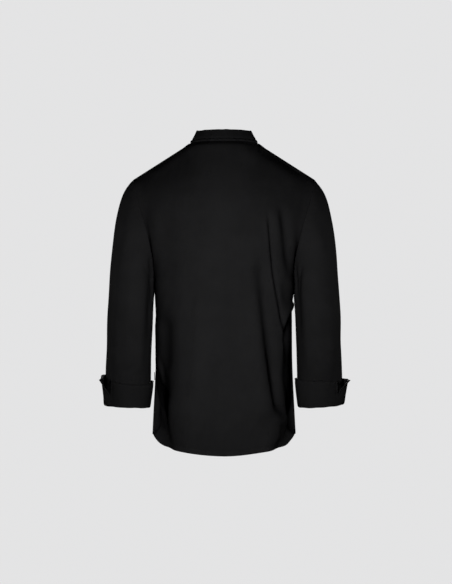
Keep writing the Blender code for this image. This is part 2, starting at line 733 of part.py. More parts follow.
def make_jacket():
    back_half = half_body("back")
    front_half = half_body("front")
    back_plain = settled(both_halves(back_half))
    front_plain = settled(both_halves(front_half)[:, ::-1])
    back = fold_body(back_plain, BACK_FOLDS)
    front = fold_body(front_plain, FRONT_FOLDS)
    front_left = front_lap(front, 1)
    front_right = mirrored(front_lap(mirrored(front), -1))

    back_normals = grid_normals(back_plain)[BODY_ROWS:, 0]
    front_normals = grid_normals(front_plain)[BODY_ROWS:, -1]
    for corner in (0, -1):
        back_normals[corner] = unit(back_normals[corner] + front_normals[corner])
        front_normals[corner] = back_normals[corner]
    sleeve = sleeve_grid(back_normals, front_normals)
    collar = collar_grid(back_half[-1], front_half[-1])

    pieces = [
        Cloth("back", "black_twill", CLOTH, back, drawn_in(back)),
        Cloth("front_left", "black_twill", CLOTH, front_left, drawn_in(front_left)),
        Cloth("front_right", "black_twill", CLOTH, front_right, drawn_in(front_right)),
        Cloth("collar", "collar_twill", COLLAR_WALL, collar, drawn_in(
            drawn_in(collar, rows=(True, False), columns=(False, False), by=COLLAR_GAP),
            rows=(False, False), by=COLLAR_END_GAP / 2)),
    ]
    for side, sizes in CUFFS.items():
        cuff = cuff_grid(sizes)
        tube = sleeve.copy()
        if side == "right":
            cuff, tube = mirrored(cuff), mirrored(tube)
        open_ends = {"rows": (True, False), "columns": (False, False)}
        pieces.append(Cloth(f"sleeve_{side}", "black_twill", CLOTH, tube, drawn_in(
            tube, rows=(False, True), columns=(False, False)), closed=True))
        pieces.append(Cloth(f"cuff_{side}", "black_twill", CUFF_WALL, cuff,
                            drawn_in(cuff, **open_ends)))
    sew(pieces)
    make_buttons(front_left)
    make_tab()


for old in list(bpy.data.objects):
    bpy.data.objects.remove(old, do_unlink=True)
make_jacket()
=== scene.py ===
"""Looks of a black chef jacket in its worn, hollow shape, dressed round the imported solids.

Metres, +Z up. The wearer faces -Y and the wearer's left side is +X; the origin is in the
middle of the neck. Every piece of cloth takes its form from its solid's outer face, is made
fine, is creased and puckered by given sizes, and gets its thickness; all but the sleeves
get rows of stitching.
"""
import math

import bmesh
import bpy
import numpy as np
from mathutils import Matrix, Vector
from mathutils.bvhtree import BVHTree
from mathutils.kdtree import KDTree


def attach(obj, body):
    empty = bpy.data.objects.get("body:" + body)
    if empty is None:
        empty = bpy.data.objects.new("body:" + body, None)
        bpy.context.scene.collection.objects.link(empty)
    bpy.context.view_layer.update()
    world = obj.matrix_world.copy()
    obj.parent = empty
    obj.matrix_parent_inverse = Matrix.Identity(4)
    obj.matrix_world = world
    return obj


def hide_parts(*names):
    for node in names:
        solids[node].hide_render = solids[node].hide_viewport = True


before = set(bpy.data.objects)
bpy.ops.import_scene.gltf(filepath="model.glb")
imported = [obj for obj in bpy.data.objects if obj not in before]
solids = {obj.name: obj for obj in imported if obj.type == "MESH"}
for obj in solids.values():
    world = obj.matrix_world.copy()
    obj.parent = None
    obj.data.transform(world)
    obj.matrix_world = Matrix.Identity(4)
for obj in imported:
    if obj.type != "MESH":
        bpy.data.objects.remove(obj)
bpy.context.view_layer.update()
bpy.ops.object.select_all(action="DESELECT")

# ------------------------------------------------------------------------------------ back
# One piece of black poly-cotton twill, hem to shoulder seams, cut on the straight grain and
# pressed. Long soft troughs fall from the shoulder blades, and the rounded hem is turned up
# once and stitched.
MM = 0.001
BLACK = (0.0128, 0.0127, 0.0132)
CLOTH_WALL = 0.0015
TWILL_RIB = 0.0007          # from one diagonal rib of the weave to the next
RIM_FACTOR = 1.35           # an edge shorter than this many walls crosses the wall
WELD = 0.00002              # corners of a solid nearer than this are one point
FINE = 3                    # times that a sheet's quads are halved


def ease(share):
    share = np.clip(share, 0.0, 1.0)
    return share * share * (3 - 2 * share)


def twill(name, colour, roughness, rib=TWILL_RIB):
    """Matt dyed twill: fine diagonal ribs, slightly slubbed yarn and faintly uneven dye."""
    material = bpy.data.materials.new(name)
    material.use_nodes = True
    nodes, links = material.node_tree.nodes, material.node_tree.links
    shader = nodes["Principled BSDF"]
    shader.inputs["Roughness"].default_value = roughness
    shader.inputs["Specular IOR Level"].default_value = 0.05

    cut = nodes.new("ShaderNodeUVMap")
    cut.uv_map = "cut"
    ribs = nodes.new("ShaderNodeTexWave")
    ribs.bands_direction = "DIAGONAL"
    ribs.inputs["Scale"].default_value = 2 * math.pi / 10 / math.sqrt(2) / rib
    ribs.inputs["Distortion"].default_value = 0.6
    ribs.inputs["Detail"].default_value = 1.0
    picks = nodes.new("ShaderNodeTexWave")
    picks.bands_direction = "Y"
    picks.inputs["Scale"].default_value = 2 * math.pi / 20 / (rib * 0.6)
    slub_place = nodes.new("ShaderNodeMapping")
    slub_place.inputs["Scale"].default_value = (1100.0, 90.0, 1.0)
    slub = nodes.new("ShaderNodeTexNoise")
    slub.inputs["Scale"].default_value = 1.0
    slub.inputs["Detail"].default_value = 3.0
    place = nodes.new("ShaderNodeTexCoord")
    dye = nodes.new("ShaderNodeTexNoise")
    dye.inputs["Scale"].default_value = 14.0
    dye.inputs["Detail"].default_value = 4.0
    dye.inputs["Roughness"].default_value = 0.6
    links.new(cut.outputs["UV"], ribs.inputs["Vector"])
    links.new(cut.outputs["UV"], picks.inputs["Vector"])
    links.new(cut.outputs["UV"], slub_place.inputs["Vector"])
    links.new(slub_place.outputs["Vector"], slub.inputs["Vector"])
    links.new(place.outputs["Object"], dye.inputs["Vector"])

    weave = nodes.new("ShaderNodeMath")
    weave.operation = "MULTIPLY_ADD"
    weave.inputs[1].default_value = 0.3
    links.new(picks.outputs["Fac"], weave.inputs[0])
    links.new(ribs.outputs["Fac"], weave.inputs[2])
    relief = nodes.new("ShaderNodeMath")
    relief.operation = "MULTIPLY_ADD"
    relief.inputs[1].default_value = 0.7
    links.new(slub.outputs["Fac"], relief.inputs[0])
    links.new(weave.outputs["Value"], relief.inputs[2])
    bump = nodes.new("ShaderNodeBump")
    bump.inputs["Strength"].default_value = 0.35
    bump.inputs["Distance"].default_value = 0.00012
    links.new(relief.outputs["Value"], bump.inputs["Height"])
    links.new(bump.outputs["Normal"], shader.inputs["Normal"])

    tone = nodes.new("ShaderNodeMath")
    tone.operation = "MULTIPLY_ADD"
    tone.inputs[1].default_value = 0.35
    links.new(weave.outputs["Value"], tone.inputs[0])
    links.new(dye.outputs["Fac"], tone.inputs[2])
    shades = nodes.new("ShaderNodeValToRGB")
    shades.color_ramp.elements[0].position = 0.3
    shades.color_ramp.elements[0].color = (*(c * 0.82 for c in colour), 1.0)
    shades.color_ramp.elements[1].position = 1.1
    shades.color_ramp.elements[1].color = (*(c * 1.18 for c in colour), 1.0)
    links.new(tone.outputs["Value"], shades.inputs["Fac"])
    links.new(shades.outputs["Color"], shader.inputs["Base Color"])
    return material


black_twill = twill("black_twill", BLACK, 0.82)


def points_of(piece):
    points = np.empty(len(piece.data.vertices) * 3)
    piece.data.vertices.foreach_get("co", points)
    return points.reshape(-1, 3)


def put_points(piece, points):
    piece.data.vertices.foreach_set("co", np.asarray(points, np.float32).ravel())
    piece.data.update()


def normals_of(piece):
    normals = np.empty(len(piece.data.vertices) * 3)
    piece.data.vertex_normals.foreach_get("vector", normals)
    return normals.reshape(-1, 3)


def use_only(piece):
    bpy.ops.object.select_all(action="DESELECT")
    piece.select_set(True)
    bpy.context.view_layer.objects.active = piece


def outer_face(solid, name, wall):
    """The outer skin of a cloth solid as an open sheet of quads."""
    mesh = solids[solid].data.copy()
    mesh.name = name
    mesh.materials.clear()
    bm = bmesh.new()
    bm.from_mesh(mesh)
    bmesh.ops.remove_doubles(bm, verts=bm.verts[:], dist=WELD)
    bmesh.ops.join_triangles(bm, faces=bm.faces[:], angle_face_threshold=math.radians(80),
                             angle_shape_threshold=math.radians(179), topology_influence=1.0)
    thin = wall * RIM_FACTOR
    rim = [f for f in bm.faces
           if sum(e.calc_length() < thin for e in f.edges) >= (2 if len(f.verts) == 4 else 1)]
    bmesh.ops.delete(bm, geom=rim, context="FACES")
    left = set(bm.faces)
    skins = []
    while left:
        skin, edge_of_skin = set(), [left.pop()]
        while edge_of_skin:
            face = edge_of_skin.pop()
            skin.add(face)
            for edge in face.edges:
                for other in edge.link_faces:
                    if other in left:
                        left.remove(other)
                        edge_of_skin.append(other)
        skins.append(skin)
    skins.sort(key=lambda skin: sum(f.calc_area() for f in skin))
    bmesh.ops.delete(bm, geom=[f for skin in skins[:-1] for f in skin], context="FACES")
    bm.to_mesh(mesh)
    bm.free()
    sheet = bpy.data.objects.new(name, mesh)
    bpy.context.scene.collection.objects.link(sheet)
    return sheet


def lay_flat(sheet, facing, middle=0.1):
    """A UV map in metres on the cut cloth, upright where it faces back (-1) or front (1)."""
    use_only(sheet)
    bpy.ops.object.mode_set(mode="EDIT")
    bpy.ops.mesh.select_all(action="SELECT")
    bpy.ops.uv.unwrap(method="ANGLE_BASED", margin=0.0)
    bpy.ops.object.mode_set(mode="OBJECT")
    layer = sheet.data.uv_layers[0]
    layer.name = "cut"
    flat = np.empty(len(layer.uv) * 2)
    layer.uv.foreach_get("vector", flat)
    flat = flat[0::2] + 1j * flat[1::2]
    corner = np.empty(len(sheet.data.loops), int)
    sheet.data.loops.foreach_get("vertex_index", corner)
    points = points_of(sheet)[corner]
    wanted = facing * points[:, 0] + 1j * points[:, 2]
    near = (np.abs(points[:, 0]) < middle) & (points[:, 1] * facing < 0)
    turn = np.linalg.lstsq(np.column_stack([flat[near], np.ones(near.sum())]), wanted[near],
                           rcond=None)[0]
    flat = flat * turn[0] + turn[1]
    layer.uv.foreach_set("vector", np.column_stack([flat.real, flat.imag]).ravel())


def subdivided(sheet, level):
    """Halve the quads `level` times, through the sheet's own points instead of inside them."""
    wanted = points_of(sheet)
    smooth = sheet.modifiers.new("fine", "SUBSURF")
    smooth.boundary_smooth = "PRESERVE_CORNERS"
    smooth.uv_smooth = "PRESERVE_BOUNDARIES"
    smooth.levels = smooth.render_levels = 1
    for _ in range(3):
        bpy.context.view_layer.update()
        seen = sheet.evaluated_get(bpy.context.evaluated_depsgraph_get())
        reached = points_of(seen)[:len(wanted)]
        put_points(sheet, points_of(sheet) + wanted - reached)
    smooth.levels = smooth.render_levels = level
    use_only(sheet)
    bpy.ops.object.modifier_apply(modifier="fine")


def edge_loops(sheet):
    """The open edges of a sheet as lists of point numbers; a ring ends where it began."""
    mesh = sheet.data
    ends = np.empty(len(mesh.edges) * 2, int)
    mesh.edges.foreach_get("vertices", ends)
    used = np.empty(len(mesh.loops), int)
    mesh.loops.foreach_get("edge_index", used)
    open_edges = ends.reshape(-1, 2)[np.bincount(used, minlength=len(mesh.edges)) == 1]
    beside = {}
    for a, b in open_edges.tolist():
        beside.setdefault(a, []).append(b)
        beside.setdefault(b, []).append(a)
    loops = []
    while beside:
        start = min(beside)
        loop = [start]
        step = beside[start][0]
        while step != start:
            loop.append(step)
            step = next(p for p in beside[step] if p != loop[-2])
        for point in loop:
            del beside[point]
        loops.append(loop + [start])
    return loops


def distance_to(points, targets):
    """Distance from each point to the nearest target, and which target that is."""
    tree = KDTree(len(targets))
    for k, target in enumerate(targets):
        tree.insert(target, k)
    tree.balance()
    found = [tree.find(point) for point in points]
    return np.array([f[2] for f in found]), np.array([f[1] for f in found])


LINE_PLACES = 90            # places along a fold's line
BANK = 0.3                  # how high the cloth stands beside a fold, of the fold's depth


def smooth_line(stops):
    """A smooth line through its stops, evenly paced between them."""
    stops = np.asarray(stops, float)
    padded = np.vstack([2 * stops[0] - stops[1], stops, 2 * stops[-1] - stops[-2]])
    places = np.linspace(0, len(stops) - 1, LINE_PLACES)
    k = np.minimum(places.astype(int), len(stops) - 2)
    t = (places - k)[:, None]
    a, b, c, d = (padded[k + j] for j in range(4))
    return b + 0.5 * t * (c - a + t * (2 * a - 5 * b + 4 * c - d + t * (3 * (b - c) + d - a)))


def crease(flat, stops, width, depth, drop, ends):
    """How deep one fold presses each point of a piece that is laid out as `flat`.

    The fold follows a smooth line downwards. It is a trough, or a ridge where its depth is
    negative, with cloth that stands up a little beside it. `drop` lets the cloth fall from
    the line's left side, seen with x to the right and z up, to a lower level at its right,
    or the other way round where it is negative. `ends` are the shares of the line over which
    the fold fades in and out."""
    line = smooth_line(stops)
    step = np.gradient(line, axis=0)
    step /= np.linalg.norm(step, axis=1, keepdims=True)
    best = np.full(len(flat), np.inf)
    nearest = np.zeros(len(flat), int)
    for k, point in enumerate(line):
        away = (flat[:, 0] - point[0]) ** 2 + (flat[:, 1] - point[1]) ** 2
        closer = away < best
        best[closer] = away[closer]
        nearest[closer] = k
    off = flat - line[nearest]
    share = (step[nearest, 1] * off[:, 0] - step[nearest, 0] * off[:, 1]) / -width
    along = nearest / (len(line) - 1.0)
    run = ease(along / ends[0]) * ease((1 - along) / ends[1])
    trough = np.exp(-share ** 2) - BANK * np.exp(-((np.abs(share) - 2.0) / 0.9) ** 2)
    fall = share * np.exp(0.5 - 0.5 * share ** 2)
    return run * (depth * trough + drop * fall)


def unevenness(flat, seed, length):
    """Soft irregular swelling of hanging cloth, longer down the grain than across it."""
    random = np.random.default_rng(seed)
    total = np.zeros(len(flat))
    for _ in range(10):
        pace = 2 * math.pi / length * random.uniform(0.6, 1.9)
        tilt = random.normal(0.0, 0.3)
        across = flat[:, 0] * math.cos(tilt) + flat[:, 1] * math.sin(tilt)
        along = flat[:, 1] * 0.35
        total += np.sin(pace * (across + along * random.uniform(-1, 1)) + random.uniform(0, 6.3))
    return total / 4


def puckers(points, edge, seed, height=0.00045, pitch=0.013, reach=0.010):
    """Ripples that the sewing thread draws into the cloth beside a seam."""
    random = np.random.default_rng(seed)
    paced = np.concatenate([[0], np.cumsum(np.linalg.norm(np.diff(edge, axis=0), axis=1))])
    away, nearest = distance_to(points, edge)
    along = paced[nearest]
    wave = sum(np.sin(2 * math.pi * along / (pitch * random.uniform(0.7, 1.6))
                      + random.uniform(0, 6.3)) for _ in range(3)) / 1.7
    return height * wave * np.exp(-(away / reach) ** 2) * ease(away / 0.003)


def stitch_groove(away, row, depth=0.0008, width=0.0026):
    """The shallow channel that a row of stitches draws, `row` away from the cloth's edge."""
    return depth * np.exp(-((away - row) / width) ** 2)


def press(sheet, sewn, depth, held=0.012, level=0.0):
    """Move the cloth in by `depth`, less and less towards the seams that hold it in place.

    Where `level` is 1 it moves forwards or backwards only, which keeps its outline."""
    points = points_of(sheet)
    away, _ = distance_to(points, points[sewn])
    way = normals_of(sheet)
    square = np.zeros_like(way)
    square[:, 1] = np.sign(way[:, 1])
    way += (square - way) * np.reshape(level, (-1, 1))
    put_points(sheet, points - way * (depth * ease(away / held))[:, None])


def turn_in(sheet, sewn, reach=0.0009, sink=0.0009, fall=0.0):
    """Roll the sewn edges into their seam, where they meet the next piece's without a gap."""
    bm = bmesh.new()
    bm.from_mesh(sheet.data)
    bm.normal_update()
    sewn = set(sewn)
    edges = [e for e in bm.edges if e.is_boundary and e.verts[0].index in sewn
             and e.verts[1].index in sewn]
    out_of_edge = {}
    for edge in edges:
        along = (edge.verts[1].co - edge.verts[0].co).normalized()
        way = edge.verts[0].co - edge.link_faces[0].calc_center_median()
        way = (way - along * way.dot(along)).normalized()
        for vertex in edge.verts:
            out_of_edge[vertex] = out_of_edge.get(vertex, Vector()) + way
    moves = {v.co.copy().freeze(): (way.normalized() * reach - v.normal * sink
                                    - Vector((0, 0, fall)))
             for v, way in out_of_edge.items()}
    made = bmesh.ops.extrude_edge_only(bm, edges=edges)["geom"]
    for vertex in made:
        if isinstance(vertex, bmesh.types.BMVert):
            vertex.co += moves[vertex.co.copy().freeze()]
    bm.to_mesh(sheet.data)
    bm.free()


def give_wall(sheet, wall, material):
    """Turn the sheet into cloth of its real thickness, inwards from its outer face."""
    solidify = sheet.modifiers.new("wall", "SOLIDIFY")
    solidify.thickness = wall
    solidify.offset = -1.0
    use_only(sheet)
    bpy.ops.object.modifier_apply(modifier="wall")
    sheet.data.shade_smooth()
    sheet.data.set_sharp_from_angle(angle=math.radians(55))
    sheet.data.materials.append(material)


THREAD = (0.019, 0.019, 0.0195)
STITCH_LENGTH = 0.0024
STITCH_PITCH = 0.0031
THREAD_RADIUS = 0.00021
FACING_PASSES = 40          # how often a row evens out the way it faces along its edge
NEAREST_ROW = 0.8           # of a row's distance from its edge; nearer places are left out


def thread_material():
    """Black polyester sewing thread: a fine twist with a slight gleam."""
    material = bpy.data.materials.new("sewing_thread")
    material.use_nodes = True
    nodes, links = material.node_tree.nodes, material.node_tree.links
    shader = nodes["Principled BSDF"]
    shader.inputs["Roughness"].default_value = 0.65
    shader.inputs["Specular IOR Level"].default_value = 0.15
    place = nodes.new("ShaderNodeTexCoord")
    twist = nodes.new("ShaderNodeTexNoise")
    twist.inputs["Scale"].default_value = 2600.0
    links.new(place.outputs["Object"], twist.inputs["Vector"])
    shades = nodes.new("ShaderNodeValToRGB")
    shades.color_ramp.elements[0].color = (*(c * 0.7 for c in THREAD), 1.0)
    shades.color_ramp.elements[1].color = (*(c * 1.3 for c in THREAD), 1.0)
    links.new(twist.outputs["Fac"], shades.inputs["Fac"])
    links.new(shades.outputs["Color"], shader.inputs["Base Color"])
    return material


sewing_thread = thread_material()


def surface_of(piece):
    mesh = piece.data
    mesh.calc_loop_triangles()
    triangles = np.empty(len(mesh.loop_triangles) * 3, int)
    mesh.loop_triangles.foreach_get("vertices", triangles)
    return BVHTree.FromPolygons(points_of(piece).tolist(), triangles.reshape(-1, 3).tolist())


def evenly(line, pitch):
    """The line as points one pitch apart."""
    steps = np.linalg.norm(np.diff(line, axis=0), axis=1)
    length = np.concatenate([[0.0], np.cumsum(steps)])
    places = np.linspace(0.0, length[-1], max(2, round(length[-1] / pitch) + 1))
    return np.column_stack([np.interp(places, length, line[:, k]) for k in range(3)])


def beside(line, surface, by):
    """A row of places one pitch apart, `by` into the sheet from its edge, and how it faces."""
    points = evenly(line, STITCH_PITCH / 2)
    along = np.gradient(points, axis=0)
    facing = np.array([surface.find_nearest(p)[1] for p in points])
    for _ in range(FACING_PASSES):
        facing[1:-1] = (facing[:-2] + 2 * facing[1:-1] + facing[2:]) / 4
    inwards = np.cross(facing, along)
    inwards /= np.linalg.norm(inwards, axis=1, keepdims=True)
    tries = []
    for way in (1, -1):
        found = [surface.find_nearest(p) for p in points + inwards * by * way]
        tries.append((sum(f[3] for f in found), found))
    row = np.array([f[0] for f in min(tries, key=lambda t: t[0])[1]])
    row = row[distance_to(row, points)[0] > by * NEAREST_ROW]
    found = [surface.find_nearest(p) for p in evenly(row, STITCH_PITCH)]
    return np.array([f[0] for f in found]), np.array([f[1] for f in found])


def stitch_meshes(name, starts, ends, facing, radius=THREAD_RADIUS):
    """One mesh of separate stitches, each a short bent strand whose ends sink into the cloth."""
    sides, stations = 5, 4
    along = ends - starts
    across = np.cross(facing, along)
    across /= np.linalg.norm(across, axis=1, keepdims=True)
    points = []
    for share, lift, girth in ((0.0, -1.2, 0.7), (0.22, 0.55, 1.0), (0.78, 0.55, 1.0),
                               (1.0, -1.2, 0.7)):
        centre = starts + along * share + facing * radius * lift
        for k in range(sides):
            angle = 2 * math.pi * k / sides
            points.append(centre + (across * math.cos(angle) + facing * math.sin(angle))
                          * radius * girth)
    count = sides * stations
    points = np.array(points).transpose(1, 0, 2).reshape(-1, 3)
    pattern = []
    for s in range(stations - 1):
        for k in range(sides):
            after = (k + 1) % sides
            pattern.append((s * sides + k, (s + 1) * sides + k, (s + 1) * sides + after,
                            s * sides + after))
    caps = [tuple(range(sides)), tuple(range(count - 1, count - 1 - sides, -1))]
    faces = [tuple(i + n * count for i in face) for n in range(len(starts))
             for face in pattern + caps]
    mesh = bpy.data.meshes.new(name)
    mesh.from_pydata(points.tolist(), [], faces)
    mesh.materials.append(sewing_thread)
    mesh.shade_smooth()
    piece = bpy.data.objects.new(name, mesh)
    bpy.context.scene.collection.objects.link(piece)
    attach(piece, "root")
    return piece


def topstitch(name, lines, surface):
    """Rows of stitching; each line is an edge of the cloth and how far in the row runs."""
    starts, ends, facings = [], [], []
    for edge, by in lines:
        middle, facing = beside(edge, surface, by)
        along = np.gradient(middle, axis=0)
        along *= STITCH_LENGTH / 2 / np.linalg.norm(along, axis=1, keepdims=True)
        starts.append(middle - along)
        ends.append(middle + along)
        facings.append(facing)
    return stitch_meshes(name, np.vstack(starts), np.vstack(ends), np.vstack(facings))


def stretches(points, loop, wanted):
    """The runs of an edge loop whose points are wanted, as lists of point numbers."""
    loop = loop[:-1]
    flags = [wanted(points[k]) for k in loop]
    if all(flags):
        return [loop + loop[:1]]
    turn = flags.index(False)
    loop, flags = loop[turn:] + loop[:turn], flags[turn:] + flags[:turn]
    runs, run = [], []
    for k, flag in zip(loop, flags):
        if flag:
            run.append(k)
        elif run:
            runs.append(run)
            run = []
    if run:
        runs.append(run)
    return [run for run in runs if len(run) > 3]


HEM_ZONE = -0.7245          # below this height an edge of the body is its hem
HEM_STITCH = 0.011          # from the hem's edge to its row of stitches
HEM_CURL = 0.007            # how far the stitched hem draws in under the cloth above it
HEM_CURL_HEIGHT = 0.07
HEM_LEVEL = 0.03            # within this of the hem the folds don't disturb its line

# Creases of the back, in millimetres: stops (x, z) along the fold, width, depth, drop, ends
BACK_CREASES = (
    # the wearer's right side: a sharp crease from the armhole and its deeper tail
    (((-105, -172), (-110, -235), (-115, -289), (-121, -339), (-130, -389), (-138, -439),
      (-145, -489), (-148, -530)), 4.6, 0.9, -3.0, (0.1, 0.12)),
    (((-140, -450), (-147, -500), (-148, -545), (-149, -590), (-155, -640), (-160, -700),
      (-162, -790)), 8.0, 0.6, -4.2, (0.2, 0.02)),
    # the soft one beside it under the shoulder, and the fold across from the side seam
    (((-131, -150), (-137, -189), (-144, -239), (-148, -289), (-156, -350)),
     9.5, 0.5, -3.8, (0.25, 0.3)),
    (((-182, -398), (-166, -424), (-154, -450), (-147, -490)), 8.0, 1.2, -6.0, (0.08, 0.2)),
    (((-159, -330), (-159, -370), (-161, -405)), 9.0, 0.0, 2.6, (0.35, 0.35)),
    (((-160, -485), (-163, -560), (-164, -640), (-162, -720), (-156, -790)),
     9.0, 0.0, -3.2, (0.2, 0.02)),
    # the long deep fold towards the middle, and the hem's corner below it
    (((-76, -235), (-80, -289), (-87, -364), (-95, -439), (-100, -489), (-106, -539),
      (-113, -589), (-121, -639), (-128, -684)), 12.5, 0.8, -7.0, (0.5, 0.14)),
    (((-98, -500), (-105, -570), (-115, -640), (-126, -700)), 22.0, 0.0, -7.0, (0.4, 0.25)),
    (((-160, -630), (-151, -700), (-143, -745), (-138, -790)), 21.0, 0.0, -14.0, (0.3, 0.01)),
    (((-126, -690), (-130, -730), (-125, -790)), 5.0, 1.2, -1.8, (0.3, 0.05)),
    # the wearer's left side: the edge where the back turns away, and the folds behind it
    (((132, -372), (137, -440), (139, -514), (141, -580)), 12.0, 0.6, 0.0, (0.4, 0.3)),
    (((150, -420), (150, -500), (151, -590)), 12.0, 0.0, -3.4, (0.25, 0.3)),
    (((150, -590), (149, -640), (148, -680), (147, -715), (144, -750), (139, -790)),
     18.0, 0.0, 12.0, (0.3, 0.01)),
    (((127, -560), (123, -640), (118, -700), (115, -790)), 30.0, 0.0, 9.0, (0.5, 0.01)),
    (((162, -520), (153, -575), (145, -612)), 4.0, 0.0, -2.2, (0.3, 0.3)),
    (((155, -560), (146, -606), (141, -650)), 4.0, 0.0, 1.2, (0.3, 0.3)),
    (((171, -655), (162, -700), (157, -730)), 3.6, 0.0, -1.8, (0.2, 0.2)),
    (((165, -640), (156, -700), (150, -760), (147, -790)), 4.5, 0.0, 1.8, (0.3, 0.05)),
    # fuller cloth beside the armholes
    (((170, -150), (172, -230), (170, -300), (164, -390), (159, -480)),
     18.0, -4.2, 0.0, (0.2, 0.5)),
    (((-166, -210), (-165, -300), (-163, -400)), 15.0, -4.2, 0.0, (0.3, 0.3)),
    # the turn of the shoulders towards the front
    (((-30, -8), (-60, -16), (-90, -28), (-127, -42), (-165, -66), (-195, -90)),
     17.0, 0.0, -3.8, (0.25, 0.15)),
    (((50, -6), (85, -14), (127, -34), (165, -58), (190, -78)), 11.0, 0.0, 2.4, (0.25, 0.2)),
    # soft ones between
    (((36, -250), (30, -400), (34, -560), (28, -760)), 15.0, 0.8, 0.3, (0.3, 0.2)),
    (((-14, -330), (-20, -480), (-16, -640), (-20, -770)), 14.0, 0.7, -0.2, (0.3, 0.2)),
    (((72, -300), (78, -430), (84, -590), (88, -760)), 13.0, 0.8, 0.6, (0.3, 0.1)),
    (((-46, -280), (-52, -420), (-60, -600), (-70, -770)), 14.0, 0.6, -0.4, (0.3, 0.2)),
    (((-58, -122), (-96, -114), (-150, -124)), 12.0, 0.8, 0.0, (0.3, 0.3)),
    (((62, -120), (98, -112), (150, -120)), 12.0, 0.8, 0.0, (0.3, 0.3)),
)
# Where the hem hangs lower, in millimetres: x, reach and how much
HEM_DROPS = ((156, 22, 6.6), (0, 62, 2.4), (-156, 20, 4.4))
HEM_PUCKER_HEIGHT = 0.0003
HEM_PUCKER_REACH = 0.014
SWELLING = 0.0006           # how far hanging cloth swells here and there
FINE_SWELLING = 0.00015
NECK_ROLL = 0.0065          # how far the cloth stands up round the neck's seam
NECK_ROLL_REACH = 0.017
NECK_SEAM_LOWEST = -0.001


def creased(flat, creases):
    """All the folds of a table whose sizes are in millimetres."""
    return sum(crease(flat, np.array(stops) * MM, width * MM, depth * MM, drop * MM, ends)
               for stops, width, depth, drop, ends in creases)


back = outer_face("back", "jacket_back", CLOTH_WALL)
lay_flat(back, -1)
subdivided(back, FINE)
points = points_of(back)
flat = points[:, (0, 2)]
depth = creased(flat, BACK_CREASES)
depth += (unevenness(flat, 3, length=0.11) * SWELLING
          + unevenness(flat, 4, length=0.035) * FINE_SWELLING)
back_loop = edge_loops(back)[0]
back_hem = stretches(points, back_loop, lambda p: p[2] < HEM_ZONE)[0]
back_sewn = [k for k in back_loop if k not in set(back_hem)]
from_hem, _ = distance_to(points, points[back_hem])
depth += HEM_CURL * ease(1 - from_hem / HEM_CURL_HEIGHT)
depth += stitch_groove(from_hem, HEM_STITCH)
neck_seam = [k for k in back_sewn if points[k, 2] > NECK_SEAM_LOWEST]
from_neck, _ = distance_to(points, points[neck_seam])
roll = from_neck / NECK_ROLL_REACH
depth -= NECK_ROLL * roll * np.exp(1 - roll)
depth += puckers(points, points[back_sewn], 5)
depth += puckers(points, points[back_hem], 6, height=HEM_PUCKER_HEIGHT, reach=HEM_PUCKER_REACH)
press(back, back_sewn, depth, level=ease(1 - from_hem / HEM_LEVEL))
points = points_of(back)
for place, reach, lower in HEM_DROPS:
    share = np.exp(-((points[:, 0] - place * MM) / (reach * MM)) ** 2)
    points[:, 2] -= lower * MM * share * ease(1 - from_hem / HEM_CURL_HEIGHT)
put_points(back, points)
back_surface = surface_of(back)
back_stitching = topstitch("back_hem_stitching", [(points_of(back)[back_hem], HEM_STITCH)],
                           back_surface)
turn_in(back, back_sewn)
give_wall(back, CLOTH_WALL, black_twill)
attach(back, "root")
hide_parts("back")

# ---------------------------------------------------------------------------------- fronts
# The left front laps over the right one down to the hem and carries both rows of buttons.
# Both are the same twill as the back, seamed to it at the sides and shoulders, with their
# lap edges and hems turned in and stitched.
LAP_STITCH = 0.007
LAP_TOP = -0.077            # the upper end of a lap's free edge

# Creases of the fronts, in millimetres, as the back's
FRONT_CREASES = (
    (((112, -170), (122, -240), (136, -320), (146, -380)), 8.0, 1.8, -1.5, (0.3, 0.3)),
    (((-116, -165), (-126, -240), (-140, -320), (-150, -385)), 8.0, 1.8, 1.5, (0.3, 0.3)),
    (((104, -330), (112, -420), (118, -540), (124, -680), (128, -800)),
     8.0, 2.4, -3.2, (0.4, 0.05)),
    (((-120, -360), (-124, -460), (-130, -600), (-134, -800)), 8.0, 2.4, 3.2, (0.4, 0.05)),
    (((160, -400), (150, -480), (138, -560)), 5.0, 1.8, -1.0, (0.2, 0.3)),
    (((-162, -410), (-152, -490), (-142, -575)), 5.0, 1.8, 1.0, (0.2, 0.3)),
    (((92, -90), (110, -130), (140, -150)), 11.0, 0.9, 0.0, (0.3, 0.3)),
    (((-92, -90), (-110, -130), (-140, -150)), 11.0, 0.9, 0.0, (0.3, 0.3)),
    (((20, -260), (24, -400), (18, -560)), 16.0, 0.8, 0.0, (0.3, 0.3)),
    (((-32, -300), (-38, -470), (-34, -650)), 16.0, 0.8, 0.0, (0.3, 0.3)),
    (((45, -150), (58, -200), (66, -235)), 7.0, 0.8, 0.0, (0.3, 0.3)),
    (((-45, -150), (-58, -200), (-66, -235)), 7.0, 0.8, 0.0, (0.3, 0.3)),
)

